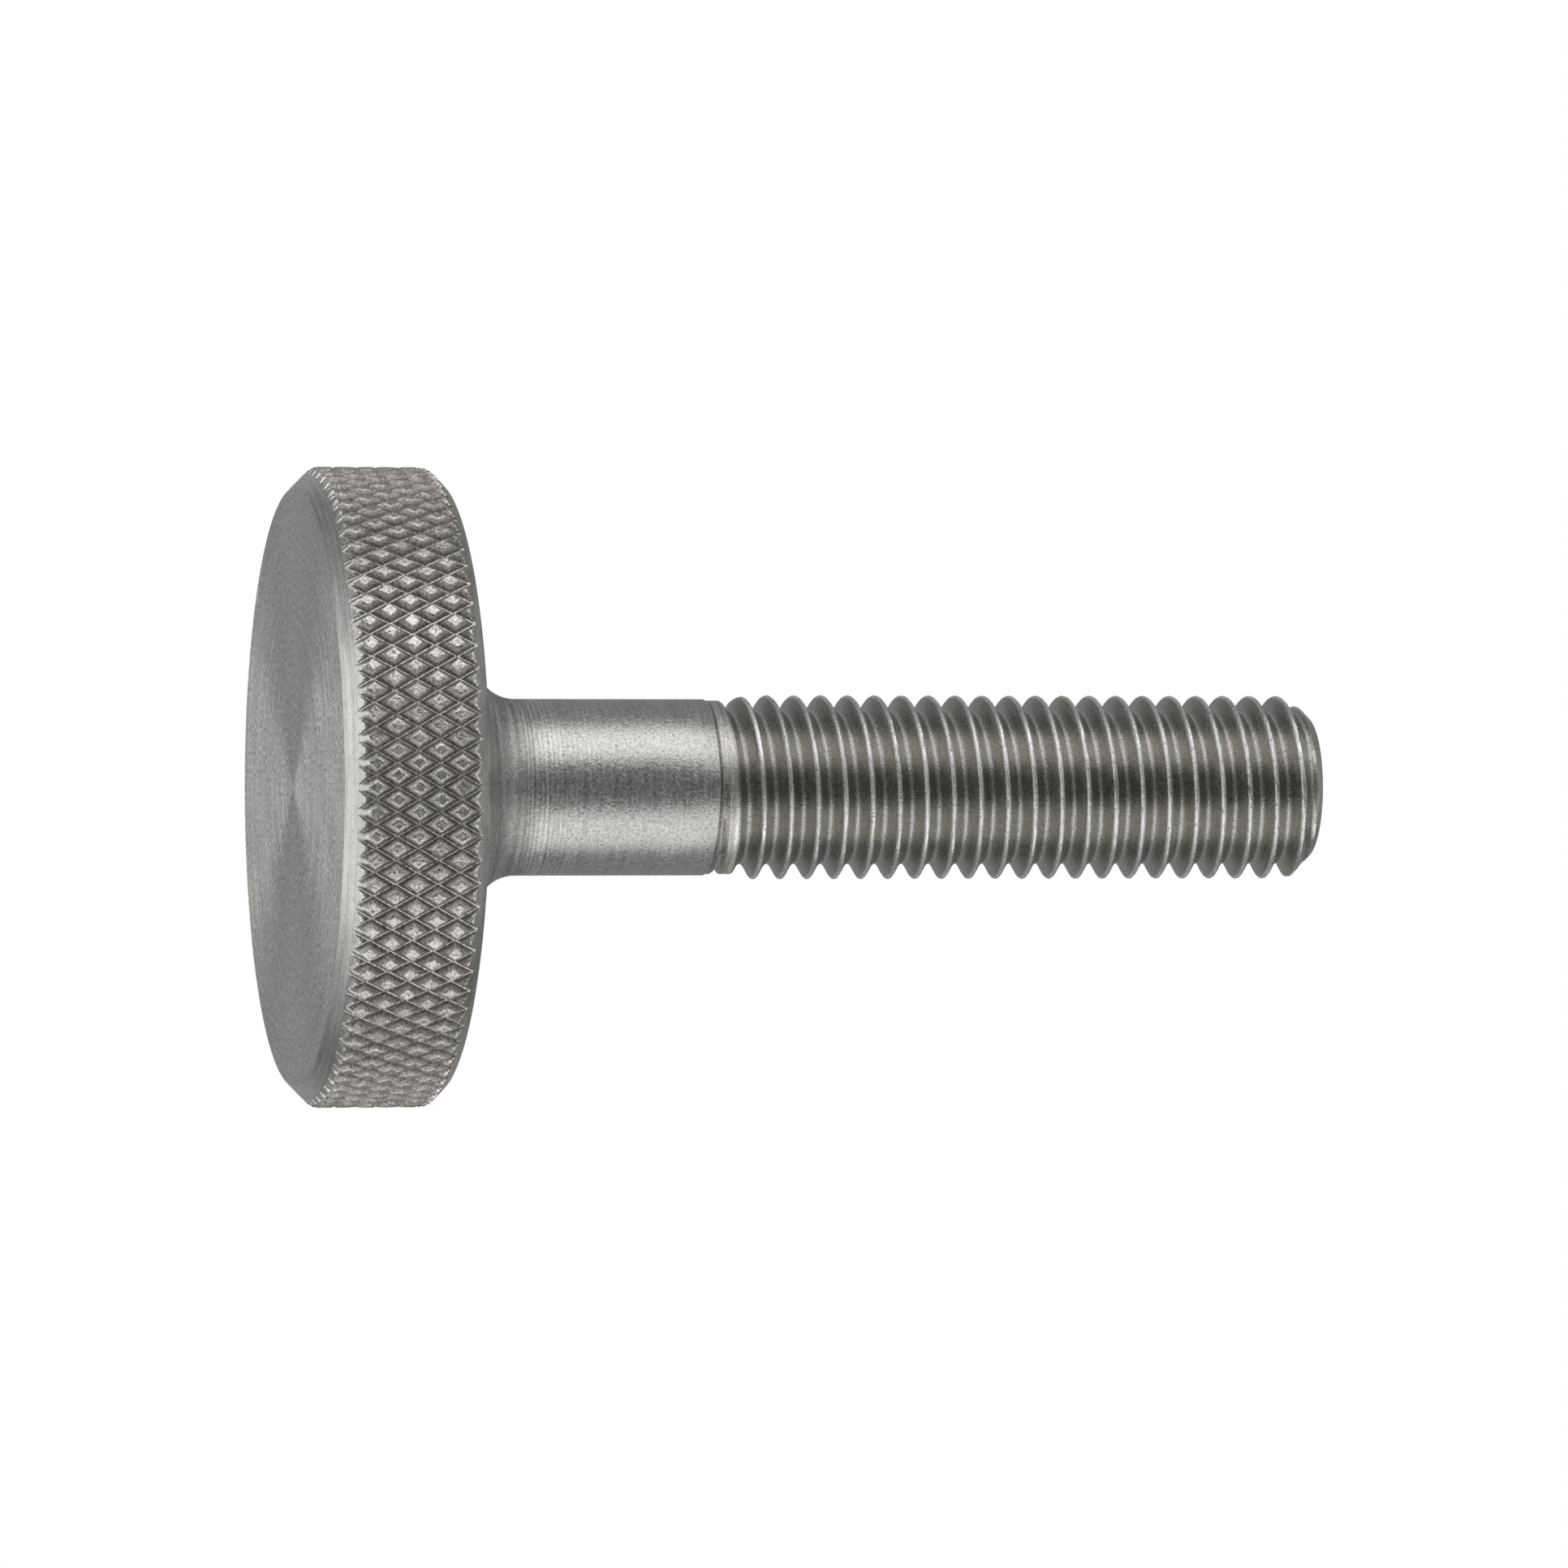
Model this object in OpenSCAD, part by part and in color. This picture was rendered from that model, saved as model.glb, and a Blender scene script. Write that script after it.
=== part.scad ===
// Knurled thumb screw.
// One turned piece: a thin disc head with a diamond knurl round its rim, a low tapered
// hub that runs into a plain shank through a fillet, and a coarse metric thread with a
// chamfered point. It stands on its flat face: the face lies on z = 0 and the axis of
// the screw is the Z axis, with the point up. All sizes are in millimetres.

/* [Head] */
// Diameter over the knurl
head_d = 34.5; // [30:0.5:48]
// Thickness of the head
head_h = 7.7; // [5:0.1:12]
// Chamfer round the flat face
face_chamfer = 1.15; // [0.7:0.05:1.5]
// Chamfer round the underside
rear_chamfer = 0.8; // [0.7:0.05:1.5]

/* [Knurl] */
// Distance from diamond to diamond round the rim
knurl_pitch = 1.32; // [1.1:0.02:2]
// Angle of the grooves to the axis of the screw
knurl_angle = 30; // [25:1:40]
// Depth of the grooves
knurl_depth = 0.4; // [0.3:0.05:0.55]
// Flat top of a diamond, as a share of the diamond
knurl_flat = 0.5; // [0.2:0.05:0.6]

/* [Hub] */
// Diameter of the hub's foot on the underside of the head
hub_d = 20; // [16:0.5:24]
// Rise of the hub's slope over the underside
hub_angle = 30; // [20:1:40]
// Radius of the fillet between the hub and the shank
neck_r = 2.4; // [1:0.1:3]

/* [Shank] */
// Diameter of the plain shank
shank_d = 9.55; // [9.2:0.05:9.8]
// Length from the head's underside to the start of the thread
plain_l = 15.05; // [9:0.05:30]

/* [Thread] */
// Diameter over the crests of the thread
thread_d = 10; // [9.9:0.05:10.2]
// Advance of the thread in one turn
thread_pitch = 1.5; // [1.25:0.25:2]
// Length from the start of the thread to the end of the point
thread_l = 33.45; // [12:0.05:60]
// Width of the crest
crest_w = 0.25; // [0.1:0.05:0.3]
// Angle between a flank and a plane square to the axis
flank_angle = 30; // [28:1:31]
// Step down from the shank at which the thread starts
start_step = 0.07; // [0.02:0.01:0.2]
// Turns over which the thread rises to its full height
run_in = 1; // [0.5:0.25:2]
// Chamfer of the point
point_chamfer = 1.15; // [0.6:0.05:1.6]

/* [Hidden] */
$fn = 72;

head_r = head_d / 2;
shank_r = shank_d / 2;
thread_r = thread_d / 2;

// The fillet's centre lies its radius away from the shank and from the hub's slope
hub_r = hub_d / 2;
neck_x = shank_r + neck_r;
neck_z = head_h + (neck_r - (neck_x - hub_r) * sin(hub_angle)) / cos(hub_angle);

// Heights of the start of the thread and of the end of the point
thread_z = head_h + plain_l;
end_z = thread_z + thread_l;

// How far a cut or a buried end passes the surface that it meets
over = 1;

// The knurl is a lattice of diamonds. Their number is the whole number that comes
// nearest to the wanted pitch, and a row is half a diamond long along the axis.
knurl_count = round(PI * head_d / knurl_pitch);
knurl_step = 360 / knurl_count;
knurl_row = PI * head_r / knurl_count / tan(knurl_angle);
knurl_root_r = head_r - knurl_depth;
// Half the width of the rim on which the grooves show, between the two chamfers
knurl_reach = head_h / 2 - min(face_chamfer, rear_chamfer) + knurl_depth;
// Rows to each side of the middle one: they fill that width but for a bare strip too
// narrow to see, and the crossings that follow them lie clear of the head
knurl_bare = 0.05;
knurl_clear = 0.1;
knurl_rows = max(
    ceil((knurl_reach - knurl_bare) / knurl_row),
    ceil((head_h / 2 + knurl_clear) / knurl_row) - 1
);

// In a metric thread the root lies this share of the pitch below the crest
thread_height = 0.6134;
thread_depth = thread_height * thread_pitch;
root_r = thread_r - thread_depth;
flank_w = thread_depth * tan(flank_angle);
start_r = shank_r - start_step;
// Flat sides of one turn of the thread
thread_sides = 24;
// Turns of the threaded bar inside the shank. What is left over from a whole turn sets
// where round the screw the thread starts.
turns_before = 1.34;
// Turns of the whole bar, of which the last one ends past the point
end_turns = 0.5;
thread_turns = ceil(turns_before + thread_l / thread_pitch + end_turns);

function polar(r, a, z) = [r * cos(a), r * sin(a), z];
function mix(a, b, t) = a + (b - a) * t;
function clamp01(t) = min(max(t, 0), 1);

// --- Head ---------------------------------------------------------------------------

// Place of groove crossing i in row j, to the right of diamond i of that row
function crossing(j, i) = polar(
    knurl_root_r,
    knurl_step * (i + (j % 2) / 2 + 0.5),
    head_h / 2 + knurl_row * (j - 1 - knurl_rows)
);

// Corner of the flat top of diamond i in row j, e and n steps right and up
function top_corner(j, i, e, n) = polar(
    head_r,
    knurl_step * (i + (j % 2) / 2 + e * knurl_flat / 2),
    head_h / 2 + knurl_row * (j - 1 - knurl_rows + n * knurl_flat)
);

// A bar with the diamond knurl on it, longer than the head is thick. Rows of crossings
// run from 0 to rows + 1, and the diamonds sit in rows 1 to rows. Each diamond is a
// small flat top and four flanks that fall to the crossings right, above, left and
// below it. Between the tips of the last diamonds the bar is plain.
module knurled_bar() {
    rows = 2 * knurl_rows + 1;
    crossings = [for (j = [0 : rows + 1], i = [0 : knurl_count - 1]) crossing(j, i)];
    tops = [
        for (j = [1 : rows], i = [0 : knurl_count - 1])
            for (c = [[1, 0], [0, 1], [-1, 0], [0, -1]]) top_corner(j, i, c[0], c[1])
    ];
    first_top = len(crossings);
    ends = first_top + len(tops);

    function cross_at(j, i) = j * knurl_count + (i + knurl_count) % knurl_count;
    function east(j, i) = cross_at(j, i);
    function west(j, i) = cross_at(j, i - 1);
    function north(j, i) = cross_at(j + 1, i - 1 + j % 2);
    function south(j, i) = cross_at(j - 1, i - 1 + j % 2);
    function top(j, i, c) = first_top + 4 * ((j - 1) * knurl_count + i) + c;

    diamonds = [
        for (j = [1 : rows], i = [0 : knurl_count - 1]) each [
            [top(j, i, 3), top(j, i, 2), top(j, i, 1), top(j, i, 0)],
            [north(j, i), east(j, i), top(j, i, 0), top(j, i, 1)],
            [east(j, i), south(j, i), top(j, i, 3), top(j, i, 0)],
            [south(j, i), west(j, i), top(j, i, 2), top(j, i, 3)],
            [west(j, i), north(j, i), top(j, i, 1), top(j, i, 2)]
        ]
    ];
    caps = [
        for (i = [0 : knurl_count - 1]) each [
            [south(1, i + 1), south(1, i), east(1, i)],
            [ends, south(1, i), south(1, i + 1)],
            [north(rows, i), north(rows, i + 1), east(rows, i)],
            [ends + 1, north(rows, i + 1), north(rows, i)]
        ]
    ];
    end_points = [[0, 0, -knurl_row], [0, 0, head_h + knurl_row]];
    polyhedron(concat(crossings, tops, end_points), concat(diamonds, caps), convexity = 8);
}

// The head before it is knurled: a disc with a chamfer on both edges. The chamfers run
// on past the rim, so that the knurl alone sets the rim.
module head_blank() {
    rotate_extrude()
        polygon([
            [0, 0],
            [head_r - face_chamfer, 0],
            [head_r + over, face_chamfer + over],
            [head_r + over, head_h - rear_chamfer - over],
            [head_r - rear_chamfer, head_h],
            [0, head_h]
        ]);
}

module head() {
    intersection() {
        head_blank();
        knurled_bar();
    }
}

// --- Hub and shank ------------------------------------------------------------------

// Half section of the hub, the fillet and the plain shank, from inside the head to the
// step at which the thread starts. The fillet is what a circle leaves of the patch
// between the hub's slope and the shank.
module neck_section() {
    difference() {
        union() {
            translate([0, head_h - over])
                square([shank_r, plain_l + over]);
            polygon([
                [0, head_h - over],
                [hub_r, head_h - over],
                [hub_r, head_h],
                [neck_x - neck_r * sin(hub_angle), neck_z - neck_r * cos(hub_angle)],
                [neck_x, neck_z],
                [0, neck_z]
            ]);
        }
        translate([neck_x, neck_z])
            circle(neck_r);
    }
}

module neck() {
    rotate_extrude()
        neck_section();
}

// --- Thread -------------------------------------------------------------------------

// Share of the thread's full height that is reached at height z
function rise(z) = clamp01((z - thread_z) / (run_in * thread_pitch));

// Point m of side k: four points to a turn, which are the two edges of the crest and
// the two edges of the root, carried round on a right-handed helix
function thread_point(k, m) =
    let (
        q = m % 4,
        along = [-crest_w / 2, crest_w / 2, crest_w / 2 + flank_w,
                 thread_pitch - crest_w / 2 - flank_w][q],
        turn = floor(m / 4) - turns_before + k / thread_sides,
        z = thread_z + turn * thread_pitch + along
    )
    polar(mix(start_r, q < 2 ? thread_r : root_r, rise(z)), 360 * k / thread_sides, z);

// A threaded bar. Its points form one column to a side, and the column after the last
// one is the first one again, a turn further up.
module threaded_bar() {
    column = 4 * thread_turns;
    points = [
        for (k = [0 : thread_sides - 1], m = [0 : column - 1]) thread_point(k, m)
    ];
    function at(k, m) = k < thread_sides ? k * column + m : m + 4;
    low = len(points);

    skin = [
        for (k = [0 : thread_sides - 1])
            for (m = [0 : column - 2 - (k == thread_sides - 1 ? 4 : 0)]) each [
                [at(k, m), at(k, m + 1), at(k + 1, m)],
                [at(k, m + 1), at(k + 1, m + 1), at(k + 1, m)]
            ]
    ];
    // The rims of the two ends, each closed by the step of one turn up the first side
    low_rim = concat(
        [for (k = [0 : thread_sides - 1]) at(k, 0)],
        [for (m = [4 : -1 : 1]) at(0, m)]
    );
    high_rim = concat(
        [for (k = [0 : thread_sides - 1]) at(k, column - 1)],
        [for (m = [column - 2 : -1 : column - 5]) at(thread_sides - 1, m)]
    );
    function next(rim, n) = rim[(n + 1) % len(rim)];
    caps = concat(
        [for (n = [0 : len(low_rim) - 1]) [low, low_rim[n], next(low_rim, n)]],
        [for (n = [0 : len(high_rim) - 1]) [low + 1, next(high_rim, n), high_rim[n]]]
    );
    low_z = thread_z - turns_before * thread_pitch;
    end_points = [[0, 0, low_z], [0, 0, low_z + thread_turns * thread_pitch]];
    polyhedron(concat(points, end_points), concat(skin, caps), convexity = 8);
}

// The outline that ends the thread: the point is cut off flat and chamfered
module thread_blank() {
    low_z = thread_z - turns_before * thread_pitch - over;
    rotate_extrude()
        polygon([
            [0, low_z],
            [thread_r + over, low_z],
            [thread_r + over, end_z - point_chamfer - over],
            [thread_r - point_chamfer, end_z],
            [0, end_z]
        ]);
}

module thread() {
    intersection() {
        thread_blank();
        threaded_bar();
    }
}

module thumb_screw() {
    color([0.62, 0.61, 0.59]) {
        head();
        neck();
        thread();
    }
}

thumb_screw();
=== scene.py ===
# %% [markdown]
# # A knurled thumb screw in turned stainless steel
#
# The real screw is one piece of bar, made on a lathe: the head is turned and knurled,
# the shank is turned, and the thread is cut. Every surface is therefore a surface of
# revolution, or such a surface with a regular pattern pressed or cut into it.
#
# That decides how it is made here. Nothing is pushed about by hand: each surface is a
# function of two parameters, worked out as whole numpy arrays, and the surfaces are
# welded into a single closed skin. The materials then add what is too fine for
# geometry, which is tool marks, wear and the cloudy tone of plain steel.

# %% Load the frame
import math

import bpy
import numpy as np
from mathutils import Matrix, Vector


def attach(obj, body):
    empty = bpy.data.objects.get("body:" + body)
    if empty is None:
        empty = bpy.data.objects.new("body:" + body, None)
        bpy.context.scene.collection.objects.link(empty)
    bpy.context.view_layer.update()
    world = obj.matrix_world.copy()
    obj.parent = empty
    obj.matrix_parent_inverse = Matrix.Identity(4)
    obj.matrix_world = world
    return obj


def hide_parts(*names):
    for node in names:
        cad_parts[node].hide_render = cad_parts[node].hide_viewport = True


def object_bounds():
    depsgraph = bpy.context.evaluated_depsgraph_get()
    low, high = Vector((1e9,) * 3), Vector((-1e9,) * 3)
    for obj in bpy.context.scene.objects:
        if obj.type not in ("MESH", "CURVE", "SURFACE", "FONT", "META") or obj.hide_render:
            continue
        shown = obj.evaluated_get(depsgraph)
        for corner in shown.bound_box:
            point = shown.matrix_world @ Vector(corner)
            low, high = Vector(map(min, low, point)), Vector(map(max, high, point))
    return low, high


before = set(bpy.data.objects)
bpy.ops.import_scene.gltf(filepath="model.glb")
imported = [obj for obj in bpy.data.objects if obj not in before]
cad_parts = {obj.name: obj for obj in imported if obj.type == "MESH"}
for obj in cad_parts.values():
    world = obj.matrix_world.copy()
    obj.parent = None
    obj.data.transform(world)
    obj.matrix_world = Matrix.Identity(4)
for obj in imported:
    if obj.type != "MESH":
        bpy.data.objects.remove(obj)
cad_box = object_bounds()
MM = 0.001

head_r = cad_box[1].x / MM
end_z = cad_box[1].z / MM
print(f"head radius {head_r:.3f} mm, length {end_z:.3f} mm")

# %% [markdown]
# ## The sizes of the screw
#
# The screw stands on its flat face with its point up, so a height is measured from that
# face. The head's diameter and the whole length come from the frame. The rest are the
# sizes that a maker would write on the drawing.

# %% Driving sizes, in millimetres
head_h = 7.7            # thickness of the head
face_chamfer = 1.15     # 45 degree chamfer round the flat face
rear_chamfer = 0.8      # 45 degree chamfer round the underside
hub_r = 10.0            # foot of the tapered hub on the underside
hub_angle = 30          # rise of its slope, in degrees
neck_r = 2.4            # fillet between the hub and the shank
shank_r = 4.775         # the plain shank
plain_l = 15.05         # from the underside to the start of the thread
thread_r = 5.0          # the crests of the thread
pitch = 1.5             # what the thread climbs in one turn
point_chamfer = 1.15    # 45 degree chamfer of the point
break_w = 0.06          # the slight rounding of a turned edge
line_w, line_d = 0.26, 0.09     # the fine turned line that ends the plain shank

thread_z = head_h + plain_l
face_r = head_r - face_chamfer
rear_r = head_r - rear_chamfer
point_r = thread_r - point_chamfer
print(f"face {2 * face_r:.1f} mm across, thread from {thread_z:.2f} mm up")

# %% [markdown]
# ## Rings, bridges and caps
#
# A surface of revolution is a stack of rings. A ring is a row of points round the axis,
# a bridge joins two rings, and a cap closes one with a fan to a point on the axis.
#
# Spinning an outline with a modifier would be quicker to write, but gives every ring the
# same number of points. Here the rings of the knurl have four times as many as those of
# the plain surfaces, so a bridge can also join a fine ring to a coarse one.

# %% A collector for points and triangles
points, triangles, finishes, reliefs = [], [], [], []
FINISHES = [
    "turned_face", "turned_end", "chamfer", "knurl", "turned_side", "run_out", "flank",
    "crest",
]


def add_points(xyz, relief=1.0):
    """Stores points and returns their numbers. Relief is how high each one lies on the
    pattern that it belongs to, from 0 in a groove to 1 on a crest."""
    xyz = np.asarray(xyz, float)
    first = sum(len(p) for p in points)
    points.append(xyz.reshape(-1, 3))
    reliefs.append(np.broadcast_to(relief, xyz.shape[:-1]).reshape(-1).astype(float))
    return np.arange(first, first + len(points[-1])).reshape(xyz.shape[:-1])


def add_triangles(a, b, c, finish):
    """Stores triangles with corners a, b, c, counter-clockwise seen from outside."""
    tri = np.stack(np.broadcast_arrays(a, b, c), -1).reshape(-1, 3)
    triangles.append(tri)
    finishes.append(np.full(len(tri), FINISHES.index(finish)))


def ring(r, z, count):
    """Points r away from the axis at height z: (r cos t, r sin t, z), with t going once
    round in count equal steps. r and z may be arrays, which gives a stack of rings."""
    r, z = np.broadcast_arrays(np.asarray(r, float), np.asarray(z, float))
    t = np.arange(count) * 2 * math.pi / count
    return np.stack([
        r[..., None] * np.cos(t), r[..., None] * np.sin(t), z[..., None] + 0 * t
    ], -1)


def bridge(low, high, finish):
    """Joins a ring to the next one along the outline, the outside on the right-hand side
    of the way there. The counts are equal, or one is a multiple of the other: then
    each point of the coarse ring takes a fan of the fine ring's points."""
    if len(low) == len(high):
        l2, h2 = np.roll(low, -1), np.roll(high, -1)
        add_triangles(low, l2, h2, finish)
        add_triangles(low, h2, high, finish)
        return
    fine, coarse = (low, high) if len(low) > len(high) else (high, low)
    share = len(fine) // len(coarse)
    after = np.roll(coarse, -1)
    turned = len(low) > len(high)
    for k in range(share):
        f1 = fine[k::share]
        f2 = np.roll(fine, -1)[k::share]
        centre = coarse if k < share // 2 else after
        if turned:
            add_triangles(f1, f2, centre, finish)
        else:
            add_triangles(f2, f1, centre, finish)
        if k == share // 2 - 1:
            if turned:
                add_triangles(f2, after, coarse, finish)
            else:
                add_triangles(after, f2, coarse, finish)


def stack(r, z, count, finish):
    """A turned surface: the outline (r, z) carried once round the axis. The outline runs
    with the outside on its right. Returns its first and last ring."""
    numbers = add_points(ring(r, z, count))
    for low, high in zip(numbers[:-1], numbers[1:]):
        bridge(low, high, finish)
    return numbers[0], numbers[-1]


def cap(rim, z, outward, finish):
    """Closes a ring with a fan to the point on the axis at height z. outward is 1 for
    a cap that looks up and -1 for one that looks down."""
    centre = add_points(np.array([0.0, 0.0, z]))
    after = np.roll(rim, -1)
    if outward > 0:
        add_triangles(rim, after, centre, finish)
    else:
        add_triangles(after, rim, centre, finish)


# %% [markdown]
# ## The knurl
#
# Two sets of grooves cross round the rim, each at 30 degrees to the axis, and leave
# diamonds standing. It could be cut with thousands of boolean wedges, but a height
# field is simpler and cleaner: on an unrolled rim, the distance to the nearest groove
# of each set is a triangle wave, and the lower of the two waves is a field of pyramids.
# A short table of heights turns each pyramid into a real diamond: a narrow groove, a
# steep wall, a ledge, a bright shoulder and a top that is dished very slightly. No two
# diamonds of a real knurl are quite alike, so each one also gets its own dish, a shoulder
# that is knocked down a little, and a slight lean.
#
# The grid is laid so that the grooves and shoulders run exactly along the diagonals of
# its cells, and each cell is split along the diagonal that follows its own groove. The
# knurling wheel fills the blunt corners of a diamond better than its sharp ones, so its
# top is squarer than its foot. The grid follows that: towards the top, its points draw
# in along the axis and spread round the rim.

# %% The knurl as a function of angle and height
knurl_pitch = 1.32      # from diamond to diamond round the rim
knurl_angle = 30        # of the grooves to the axis
knurl_depth = 0.40
cells = 8               # grid cells in half a diamond

diamonds = round(2 * math.pi * head_r / knurl_pitch)
row_h = math.pi * head_r / diamonds / math.tan(math.radians(knurl_angle))
root_r = head_r - knurl_depth
rim_count = diamonds * 2 * cells
print(f"{diamonds} diamonds round the rim, each {2 * row_h:.2f} mm long")

# The height of a diamond against the way from its groove (0) to its middle (1). Each
# pair is one line of grid points, so the lines crowd where the shape bends.
diamond_way = np.array([0, 0.07, 0.20, 0.33, 0.46, 0.57, 0.66, 0.83, 1])
diamond_rise = np.array([0, 0.02, 0.32, 0.58, 0.82, 0.965, 1.0, 0.985, 0.975])
shoulder_way = 0.57     # where the squeeze and the spread of the top are complete
squeeze, spread = 0.84, 1.24

# %% What makes each diamond its own
table_rows = 64         # more than the rows of diamonds, so that no two share a place
chip_h = 0.035          # most that a shoulder is raised or knocked down
shoulder_w = 0.09       # width of that change, as a share of the way
rng = np.random.default_rng(7)
dish = rng.uniform(-0.02, 0.05, (table_rows, diamonds))     # how far each top is dished
chip = rng.uniform(-1, 1, (table_rows, diamonds))           # what its shoulder has lost
lean = rng.normal(0, 0.035, (2, table_rows, diamonds))      # how its top leans each way


def ramp(value, low, high):
    """0 below low, 1 above high, and a straight line between them."""
    return np.clip((value - low) / (high - low), 0, 1)


def knurl_grid(columns, rows):
    """Height above the groove bottom, 0 to 1, and the drawn-in place of each point. With
    i cells round the rim and j cells up from its middle, the two sets of grooves lie
    where i + j and i - j are whole diamonds. The way t to the middle of a diamond is 1
    less the two shares of the way to its tips, along the axis and round the rim."""
    a = (columns + rows) / (2 * cells)
    b = (columns - rows) / (2 * cells)
    lane, place = np.floor(a).astype(int), np.floor(b).astype(int)
    along = (a - lane) - (b - place)
    around = (a - lane) + (b - place) - 1
    even = 1 - np.abs(along) - np.abs(around)
    t = np.interp(even, np.linspace(0, 1, cells + 1), diamond_way)
    own = (lane - place) % table_rows, lane % diamonds
    shoulder = np.exp(-((t - shoulder_way) / shoulder_w) ** 2)
    height = (
        np.interp(t, diamond_way, diamond_rise) - dish[own] * ramp(t, 0.65, 0.85)
        + chip_h * chip[own] * shoulder
        + ramp(t, 0.45, 0.65) * (lean[0][own] * along + lean[1][own] * around)
    )
    crowd = (1 - t) / np.maximum(1 - even, 1e-9)
    drawn = np.clip(t / shoulder_way, 0, 1)
    new_rows = rows + cells * along * (crowd * (1 + (squeeze - 1) * drawn) - 1)
    new_columns = columns + cells * around * (crowd * (1 + (spread - 1) * drawn) - 1)
    return np.minimum(height, 1.0), new_columns, new_rows


# %% [markdown]
# ## Where the chamfers cut the knurl
#
# The head is chamfered after it is knurled, so each chamfer is a cone that cuts the
# pattern off. A boolean would cut every diamond exactly, and leave thousands of slivers.
# On the grid it is simpler: the point takes the smaller of two distances from the axis,
# that of the pattern and that of the cone. Cells on the cone get its finish. A cell
# that is half cut lies on the very edge, where the metal is torn up to a burr, so
# it gets the finish of the thread's crests, whose lighter steel is partly worn bright
# and partly painted highlight.

# %% The rim of the head
# Rows that carry the pattern: they start just outside the places where a chamfer has
# reached the bottom of the grooves.
step_h = row_h / cells
beyond_cut = knurl_depth + 0.05
low_row = -int((head_h / 2 - face_chamfer + beyond_cut) / step_h) - 1
high_row = int((head_h / 2 - rear_chamfer + beyond_cut) / step_h) + 1
rows = np.arange(low_row, high_row + 1)[:, None]
columns = np.arange(rim_count)[None, :]
height, drawn_columns, drawn_rows = knurl_grid(columns, rows)
rim_z = head_h / 2 + drawn_rows * step_h
rim_r = root_r + knurl_depth * height
cone_r = np.minimum(face_r + rim_z, rear_r + head_h - rim_z)
shown = rim_r < cone_r
rim_r = np.minimum(np.minimum(rim_r, cone_r), head_r)
angle = drawn_columns * 2 * math.pi / rim_count
rim = add_points(
    np.stack([rim_r * np.cos(angle), rim_r * np.sin(angle), rim_z], -1),
    np.where(shown, height, 1.0),
)
print(f"rim of {rim.shape[0]} rows by {rim.shape[1]} points")


# %% The cells of the rim
def triangle_wave(x):
    """0 at whole numbers, 1 half way between them."""
    return 1 - np.abs(2 * (x - np.floor(x)) - 1)


# Each cell is split along the groove that shapes it: the first set where its wave is
# the lower one, else the second.
mid_a = triangle_wave((columns + 0.5 + rows[:-1] + 0.5) / (2 * cells))
mid_b = triangle_wave((columns - rows[:-1]) / (2 * cells))
first_set = mid_a < mid_b
p00, p10 = rim[:-1], np.roll(rim[:-1], -1, axis=1)
p01, p11 = rim[1:], np.roll(rim[1:], -1, axis=1)
shown_right = np.roll(shown, -1, axis=1)
cell_shown = (shown[:-1] & shown[1:]) | (shown_right[:-1] & shown[1:])
whole_cell = shown[:-1] & shown[1:] & shown_right[:-1] & shown_right[1:]
burr_from = 0.25        # a burr needs metal, so none hangs in the grooves below this height
burr = cell_shown & ~whole_cell & (height[:-1] > burr_from)
for chosen, split in ((first_set, "first"), (~first_set, "second")):
    for finish, where in (
        ("knurl", cell_shown & ~burr & chosen), ("crest", burr & chosen),
        ("chamfer", ~cell_shown & chosen),
    ):
        q00, q10, q01, q11 = p00[where], p10[where], p01[where], p11[where]
        if split == "first":
            add_triangles(q00, q10, q01, finish)
            add_triangles(q10, q11, q01, finish)
        else:
            add_triangles(q00, q10, q11, finish)
            add_triangles(q00, q11, q01, finish)
print(f"{int(burr.sum())} cells with a burr")

# %% [markdown]
# ## The plain turned surfaces
#
# The flat face, the two chamfers, the underside, the hub, the fillet and the shank
# are one outline carried round the axis. An edge that a lathe tool leaves is never
# quite sharp, so each corner of the outline is broken by a tiny flat, which catches a
# thin line of light as the real one does.
#
# The outline could be one long list of points, spun at once. It is cut into short stacks
# of rings instead, so that each surface can have its own finish and its own fineness.

# %% Face, chamfers and underside
plain_count = rim_count // 4    # points in a ring of the head's plain surfaces
coarse_count = diamonds         # points in a ring of the shank and the thread
inset = 0.1                     # from a bridge between two finenesses to the next ring
cone_from = 0.3                 # height of the first ring that lies on the cone
foot_gap = 0.25                 # from the end of the underside to the hub's foot

# the flat face, from the axis outwards: it looks down, so its outline runs outwards
face_outer = ring([face_r * 0.5, face_r - break_w], [0, 0], plain_count)
inner, outer = add_points(face_outer)
cap(inner, 0, -1, "turned_face")
bridge(inner, outer, "turned_face")
edge_in, edge_out = stack(
    [face_r - 0.3 * break_w, face_r + 0.3 * break_w], [0.1 * break_w, 0.5 * break_w],
    plain_count, "chamfer",
)
bridge(outer, edge_in, "chamfer")

# the front chamfer: at 45 degrees, r grows as much as z does
first_z = rim_z[0].min()
cone_z = np.array([cone_from, first_z - inset])
cone_in, cone_out = stack(face_r + cone_z, cone_z, plain_count, "chamfer")
bridge(edge_out, cone_in, "chamfer")
bridge(cone_out, rim[0], "chamfer")

# the rear chamfer and the underside
last_z = rim_z[-1].max()
rear_in, rear_out = stack(
    [rear_r + head_h - last_z - inset, rear_r + 0.3 * break_w],
    [last_z + inset, head_h - 0.5 * break_w], plain_count, "chamfer",
)
bridge(rim[-1], rear_in, "chamfer")
under_in, under_out = stack(
    [rear_r - 0.7 * break_w, hub_r + foot_gap], [head_h, head_h], plain_count,
    "turned_end",
)
bridge(rear_out, under_in, "chamfer")
print(f"rings of {plain_count} points on the head, {coarse_count} on the shank")

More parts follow.
